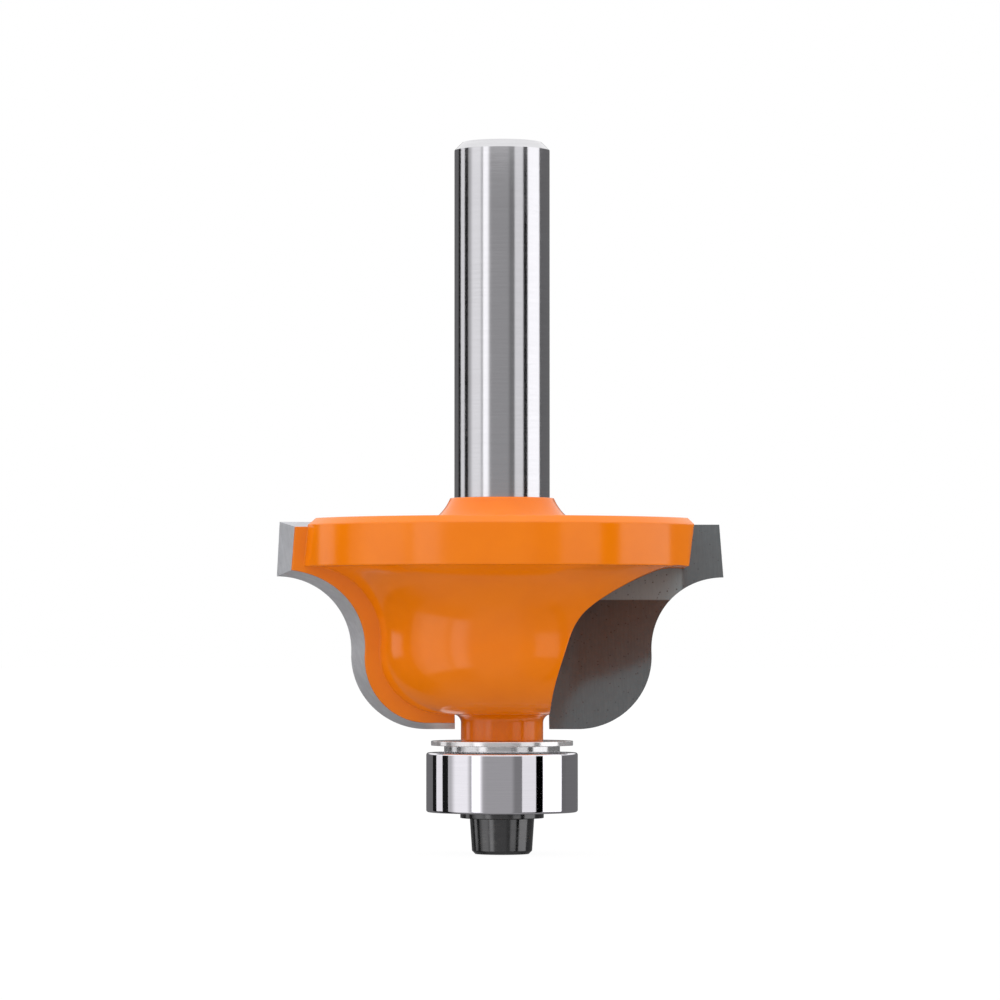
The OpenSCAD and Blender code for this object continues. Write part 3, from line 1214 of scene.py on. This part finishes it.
@dataclass
class GroundShank:
    """The bare ground shank above the collar."""

    heights: Heights
    radius: float = 4.0
    chamfer: float = 0.67
    sunk: float = 0.3

    def shank(self, steel: Material) -> Piece:
        """Turns the shank.

        Args:
            steel: The ground steel.

        Returns:
            The shank.
        """
        low, high = self.heights.collar_top, self.heights.shank_top
        profile = Profile().to(
            (0.0, low - self.sunk),
            (self.radius, low - self.sunk),
            (self.radius, low + 6),
            (self.radius, high - 6),
            (self.radius, high - self.chamfer),
            (self.radius - self.chamfer, high),
            (0.0, high),
        )
        obj = profile.turned("ground_shank", 0.06, 192, closed=False)
        return Piece(obj, "cutter", ("body",), "ground_steel", steel)


@dataclass
class CarbideTips:
    """The two carbide tips."""

    blades: Blades

    def build(self, rake: Material, relief: Material) -> list[Piece]:
        """Makes both tips and gives their ground sides their own finish.

        Args:
            rake: The finish of the rake face.
            relief: The finish of the relieved sides.

        Returns:
            The two tips.
        """
        tip_a = self.blades.tip()
        for material in (rake, relief):
            tip_a.data.materials.append(material)
        for face in tip_a.data.polygons:
            flat = abs(face.normal.dot(self.blades.rake_normal)) > 0.999
            face.material_index = 0 if flat else 1
        tip_b = half_turn(copied(tip_a, "tip_b_carbide"))
        return [
            Piece(tip_a, "cutter", ("tip_a",), "carbide", rake, 25.0),
            Piece(tip_b, "cutter", ("tip_b",), "carbide", rake, 25.0),
        ]


class Side(Enum):
    """Which of the bearing's two faces a part closes."""

    UPPER = "upper"
    LOWER = "lower"


@dataclass
class GuideBearing:
    """The shielded ball bearing and its spacer, around the imported balls and cage."""

    heights: Heights
    outer_r: float = 6.35
    bore_r: float = 2.38125
    ball_d: float = 2.381
    clearance: float = 0.02
    groove_depth: float = 0.44
    corner: float = 0.2
    seat_depth: float = 0.36
    recess: float = 0.19
    snap_t: float = 0.22
    snap_w: float = 0.4
    shield_t: float = 0.2
    shield_gap: float = 0.08
    shield_press: float = 0.05
    spacer_step_r: float = 4.85
    spacer_r: float = 5.95
    steps: int = 192

    @property
    def pitch_r(self) -> float:
        """The radius of the circle that the balls run on."""
        return (self.outer_r + self.bore_r) / 2

    @property
    def groove_r(self) -> float:
        """The radius of the grooves' section."""
        return self.ball_d * 0.52

    @property
    def inner_land_r(self) -> float:
        """The radius of the inner ring's shoulders."""
        return self.pitch_r - self.ball_d / 2 - self.clearance + self.groove_depth

    @property
    def outer_land_r(self) -> float:
        """The radius of the outer ring's shoulders."""
        return self.pitch_r + self.ball_d / 2 + self.clearance - self.groove_depth

    @property
    def seat_r(self) -> float:
        """The radius of the shields' seats."""
        return self.outer_land_r + self.seat_depth

    @property
    def seat_h(self) -> float:
        """The depth of the shields' seats along the axis."""
        return self.recess + self.snap_t + self.shield_t

    def outer_ring(self, steel: Material) -> Piece:
        """Turns the outer ring with its groove and the seats of both shields.

        Args:
            steel: The polished steel.

        Returns:
            The ring.
        """
        h = self.heights
        low, high, mid = h.bearing, h.step, h.bearing_middle
        centre = self.pitch_r + self.ball_d / 2 + self.clearance - self.groove_r
        angle = math.degrees(math.acos((self.outer_land_r - centre) / self.groove_r))
        r, c = self.outer_r, self.corner
        profile = Profile().to((self.seat_r, low), (r - c, low))
        profile.arc((r - c, low + c), c, -90, 0, 8).arc((r - c, high - c), c, 0, 90, 8)
        upper, lower = high - self.seat_h, low + self.seat_h
        profile.to((self.seat_r, high), (self.seat_r, upper), (self.outer_land_r, upper))
        profile.arc((centre, mid), self.groove_r, angle, -angle, 16)
        profile.to((self.outer_land_r, lower), (self.seat_r, lower))
        obj = profile.turned("bearing_outer_ring", 0.03, self.steps)
        return Piece(obj, "bearing_rim", ("outer_ring",), "bearing_steel", steel)

    def inner_ring(self, steel: Material) -> Piece:
        """Turns the inner ring with its groove.

        Args:
            steel: The polished steel.

        Returns:
            The ring.
        """
        h = self.heights
        low, high, mid = h.bearing, h.step, h.bearing_middle
        centre = self.pitch_r - self.ball_d / 2 - self.clearance + self.groove_r
        angle = math.degrees(math.acos((centre - self.inner_land_r) / self.groove_r))
        profile = Profile().to((self.bore_r, low), (self.inner_land_r, low))
        profile.arc((centre, mid), self.groove_r, 180 + angle, 180 - angle, 16)
        profile.to((self.inner_land_r, high), (self.bore_r, high))
        obj = profile.turned("bearing_inner_ring", 0.06, self.steps)
        return Piece(obj, "cutter", ("inner_ring",), "bearing_steel", steel)

    def shield(self, side: Side, sheet: Material) -> Piece:
        """Turns a shield, with a shallow pressed bead round it.

        Args:
            side: Which shield it is.
            sheet: The pressed sheet.

        Returns:
            The shield.
        """
        h = self.heights
        upper = side is Side.UPPER
        out = 1.0 if upper else -1.0
        face = (h.step - self.seat_h) if upper else (h.bearing + self.seat_h)
        inner, outer = self.inner_land_r + self.shield_gap, self.seat_r
        width = outer - inner
        high = face + out * self.shield_t
        pressed = high - out * self.shield_press
        profile = Profile().to(
            (inner, face),
            (outer, face),
            (outer, high),
            (inner + width * 0.72, high),
            (inner + width * 0.64, pressed),
            (inner + width * 0.16, pressed),
            (inner + width * 0.1, high),
            (inner, high),
        )
        obj = profile.turned(f"{side.value}_shield_sheet", 0.04, 144)
        return Piece(obj, "bearing_rim", (f"{side.value}_shield",), "shield_steel", sheet)

    def snap_ring(self, side: Side, wire: Material) -> Piece:
        """Turns a split snap ring and cuts its gap.

        Args:
            side: Which snap ring it is.
            wire: The ring's steel.

        Returns:
            The snap ring.
        """
        h = self.heights
        upper = side is Side.UPPER
        low = h.step - self.recess - self.snap_t if upper else h.bearing + self.recess
        inner, outer, high = self.seat_r - self.snap_w, self.seat_r, low + self.snap_t
        profile = Profile().to((inner, low), (outer, low), (outer, high), (inner, high))
        obj = profile.turned(f"{side.value}_snap_wire", 0.05, 144)
        place, gap = (self.outer_r, 0, low), (self.outer_r, 1.2, 2)
        cut_with(obj, bpy.ops.mesh.primitive_cube_add, size=1.0, location=place, scale=gap)
        return Piece(obj, "bearing_rim", (f"{side.value}_snap_ring",), "shield_steel", wire)

    def spacer(self, steel: Material) -> Piece:
        """Turns the stepped spacer above the bearing.

        Args:
            steel: The bright steel.

        Returns:
            The spacer.
        """
        h = self.heights
        bore, step, flange = self.bore_r, self.spacer_step_r, self.spacer_r
        profile = Profile().to((bore, h.step), (step, h.step), (step, h.flange))
        profile.to((flange, h.flange), (flange, h.neck), (bore, h.neck))
        obj = profile.turned("stepped_spacer", 0.05, self.steps)
        return Piece(obj, "cutter", ("spacer_washer",), "ground_steel", steel)


@dataclass
class BearingScrew:
    """The black cap screw and its washer."""

    heights: Heights
    head_r: float = 2.7
    end_r: float = 2.52
    chamfer: float = 0.28
    stem_r: float = 1.5
    length: float = 8.0
    hex_af: float = 2.5
    hex_depth: float = 1.5
    hex_mouth: float = 0.12
    washer_bore_r: float = 1.6
    washer_r: float = 3.5

    def screw(self, black: Material) -> Piece:
        """Turns the screw and sinks its hexagon socket.

        Args:
            black: The black oxide.

        Returns:
            The screw.
        """
        top = self.heights.washer
        profile = Profile().to(
            (0.0, 0.0),
            (self.end_r - self.chamfer, 0.0),
            (self.end_r, self.chamfer),
            (self.head_r, top),
            (self.stem_r, top),
            (self.stem_r, top + self.length - self.chamfer),
            (self.stem_r - self.chamfer, top + self.length),
            (0.0, top + self.length),
        )
        obj = profile.turned("cap_screw", 0.06, 144, closed=False)
        corner_r = self.hex_af / 2 / math.cos(math.radians(30))
        cut_with(
            obj,
            bpy.ops.mesh.primitive_cylinder_add,
            vertices=6,
            radius=corner_r,
            depth=self.hex_depth + 1,
            location=(0, 0, (self.hex_depth - 1) / 2),
            rotation=(0, 0, math.radians(30)),
        )
        mouth_r = corner_r + self.hex_mouth
        mouth = {"vertices": 96, "radius1": mouth_r, "radius2": 0.0, "depth": mouth_r * 0.8}
        cut_with(obj, bpy.ops.mesh.primitive_cone_add, location=(0, 0, mouth_r * 0.4), **mouth)
        return Piece(obj, "cutter", ("bearing_screw",), "black_oxide", black, 24.0)

    def washer(self, black: Material) -> Piece:
        """Turns the washer under the head.

        Args:
            black: The black oxide.

        Returns:
            The washer.
        """
        h = self.heights
        bore, outer = self.washer_bore_r, self.washer_r
        profile = Profile().to((bore, h.washer), (outer, h.washer))
        obj = profile.to((outer, h.bearing), (bore, h.bearing)).turned("flat_washer", 0.05, 144)
        return Piece(obj, "cutter", ("screw_washer",), "black_oxide", black)


@dataclass
class RouterBit:
    """The whole bit, built from its sub-assemblies in order."""

    finishes: dict[str, Material]
    heights: Heights = field(default_factory=Heights)

    def build(self) -> list[Piece]:
        """Builds every piece.

        Returns:
            The pieces.
        """
        blades = Blades(self.heights)
        bearing = GuideBearing(self.heights)
        screw = BearingScrew(self.heights)
        given = self.finishes
        pieces = [
            PaintedHead(self.heights, blades).build(given["orange_paint"], given["ground_shank"]),
            GroundShank(self.heights).shank(given["ground_shank"]),
            *CarbideTips(blades).build(given["carbide_rake"], given["carbide_relief"]),
            bearing.outer_ring(given["polished_ring"]),
            bearing.inner_ring(given["polished_ring"]),
            *(bearing.shield(side, given["pressed_shield"]) for side in Side),
            *(bearing.snap_ring(side, given["pressed_shield"]) for side in Side),
            bearing.spacer(given["bright_spacer"]),
            screw.screw(given["black_oxide"]),
            screw.washer(given["black_oxide"]),
        ]
        for piece in pieces:
            piece.settle()
        return pieces

    def dress_carried_solids(self) -> None:
        """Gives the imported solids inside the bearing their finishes."""
        for name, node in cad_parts.items():
            if name.startswith("ball_"):
                material = self.finishes["polished_ring"]
            elif name == "bearing_cage":
                material = self.finishes["cage_brass"]
            else:
                continue
            node.data.materials.clear()
            node.data.materials.append(material)
            LOG.info("%s keeps its packed solid", name)


# The studio


@dataclass(frozen=True)
class Panel:
    """A soft panel of the studio, seen from the bit.

    Attributes:
        left: Its left edge, in degrees to the right of the camera.
        right: Its right edge.
        low: Its lower edge, in degrees above the horizon.
        high: Its upper edge.
        level: How bright it is.
        left_soft: How wide its left edge fades, in degrees.
        right_soft: How wide its right edge fades.
    """

    left: float
    right: float
    low: float
    high: float
    level: float
    left_soft: float = 1.0
    right_soft: float = 1.0

    def over(self, graph: Graph, under: object, bearing: object, height: object) -> Socket:
        """Lays the panel over what is behind it.

        Args:
            graph: The world's graph.
            under: The brightness behind it.
            bearing: The direction round the bit, in degrees.
            height: The direction above the horizon, in degrees.

        Returns:
            The brightness with the panel in it.
        """
        half_l, half_r = self.left_soft / 2, self.right_soft / 2
        rises = graph.ramp(bearing, self.left - half_l, self.left + half_l)
        falls = graph.ramp(bearing, self.right - half_r, self.right + half_r, (1.0, 0.0))
        begins = graph.ramp(height, self.low - 2, self.low + 2)
        ends = graph.ramp(height, self.high - 8, self.high + 8, (1.0, 0.0))
        mask = graph.times(graph.times(rises, falls), graph.times(begins, ends))
        return graph.cross(mask, under, self.level)


@dataclass
class Studio:
    """The camera, the world with its panels, and the floor.

    Attributes:
        camera_mm: The camera's place.
        tilt: How far it looks up, in degrees.
        yaw: How far it looks to the right.
        lens: Its focal length in millimetres.
        sensor: The width of its sensor.
        walls: The level behind the panels.
        overhead: The level above the panels, where the soft light comes from.
        overhead_lean: How much brighter the overhead light is on the left.
        ground: The level below the panels.
        panels: The panels, each laid over the ones before it.
    """

    camera_mm: Point3 = (0.0, -411.95, 17.623)
    tilt: float = 1.6695
    yaw: float = -0.0237
    lens: float = 176.872
    sensor: float = 36.0
    walls: float = 0.15
    overhead: float = 1.48
    overhead_lean: float = 0.25
    ground: float = 0.27
    panels: tuple[Panel, ...] = (
        Panel(-131, -90, -60, 60, 0.01, 1.2, 0.8),
        Panel(-119, -103, -10, 60, 0.85),
        Panel(-90, -20, -36, 60, 0.45, 0.6, 12),
        Panel(-80, -52, -36, 60, 0.92, 12, 8),
        Panel(-47, -31, -34, 60, 1.3, 0.8, 8),
        Panel(-30, 29, -60, 60, 0.34, 16, 2),
        Panel(17, 29.5, -60, 60, 0.2, 8, 1),
        Panel(30.5, 53, -17, 60, 0.82, 1.5, 1.2),
        Panel(53, 65, -60, 60, 0.0, 0.8, 0.8),
        Panel(65, 103, -17, 60, 1.3, 0.8, 1.5),
        Panel(103, 113, -30, 60, 0.14, 1.0, 3.0),
    )

    def camera(self) -> None:
        """Places the camera at the photograph's angle."""
        data = bpy.data.cameras.new("camera")
        data.lens = self.lens
        data.sensor_width = self.sensor
        data.clip_start, data.clip_end = 0.01, 50.0
        obj = bpy.data.objects.new("camera", data)
        bpy.context.scene.collection.objects.link(obj)
        obj.location = Vector(self.camera_mm) * MM
        yaw, tilt = math.radians(self.yaw), math.radians(self.tilt)
        ahead = math.cos(tilt)
        look = Vector((math.sin(yaw) * ahead, math.cos(yaw) * ahead, math.sin(tilt)))
        obj.rotation_euler = look.to_track_quat("-Z", "Y").to_euler()
        bpy.context.scene.camera = obj

    def world(self) -> None:
        """Builds the world: a ring of panels, soft light above it and a white backdrop."""
        world = bpy.data.worlds.new("studio")
        graph = Graph.of(world)
        place = graph.add("ShaderNodeTexCoord").outputs["Generated"]
        x, y, z = graph.add("ShaderNodeSeparateXYZ", {0: place}).outputs
        around = graph.math("ARCTAN2", x, graph.times(y, -1.0))
        bearing = graph.times(around, math.degrees(1))
        height = graph.times(graph.math("ARCSINE", z), math.degrees(1))
        level: object = self.walls
        for panel in self.panels:
            level = panel.over(graph, level, bearing, height)
        above = graph.ramp(height, 9, 22)
        soft = graph.math("SUBTRACT", self.overhead, graph.times(x, self.overhead_lean))
        level = graph.cross(above, level, soft)
        level = graph.cross(graph.ramp(height, -65, -45, (1.0, 0.0)), level, self.ground)
        studio = graph.add("ShaderNodeBackground", {"Color": (0.985, 0.98, 1.0), "Strength": level})
        white = graph.add("ShaderNodeBackground", {"Color": (1.0, 1.0, 1.0)})
        ray = graph.add("ShaderNodeLightPath").outputs
        mirrored = graph.times(graph.plus(ray["Is Glossy Ray"], ray["Is Transmission Ray"]), above)
        share = graph.plus(ray["Is Camera Ray"], mirrored, clamp=True)
        graph.put_out("ShaderNodeOutputWorld", share, studio, white)
        bpy.context.scene.world = world

    def floor(self) -> None:
        """Lays a pale round floor under the bit, which keeps a faint shadow."""
        bpy.ops.object.select_all(action="DESELECT")
        bpy.ops.mesh.primitive_circle_add(vertices=128, radius=3.0, fill_type="NGON")
        floor = bpy.context.active_object
        floor.name = "floor"
        enter(floor)
        bpy.ops.mesh.inset(thickness=2.6)
        leave()
        material = bpy.data.materials.new("pale_floor")
        graph = Graph.of(material)
        matt = graph.add("ShaderNodeBsdfDiffuse", {"Color": (0.6, 0.6, 0.6)})
        white = graph.add("ShaderNodeEmission", {"Color": (1.0, 1.0, 1.0), "Strength": 1.04})
        share = graph.times(graph.add("ShaderNodeLightPath").outputs["Is Camera Ray"], 0.92)
        graph.put_out("ShaderNodeOutputMaterial", share, matt, white)
        floor.data.materials.append(material)
        floor.visible_glossy = False

    def build(self) -> None:
        """Sets up the camera, the world, the floor and the view."""
        self.camera()
        self.world()
        self.floor()
        bpy.context.scene.view_settings.view_transform = "Standard"


def corners(box: tuple[Vector, Vector]) -> list[list[float]]:
    """Turns a box into plain lists."""
    return [[float(v) for v in corner] for corner in box]


def main() -> None:
    """Builds the bit and the studio, and logs how many pieces there are."""
    logging.basicConfig(level=logging.INFO, format="%(name)s: %(message)s")
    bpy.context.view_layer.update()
    bit = RouterBit(build_finishes())
    pieces = bit.build()
    bit.dress_carried_solids()
    Studio().build()
    LOG.info("%d pieces", len(pieces))


if __name__ == "__main__":
    main()
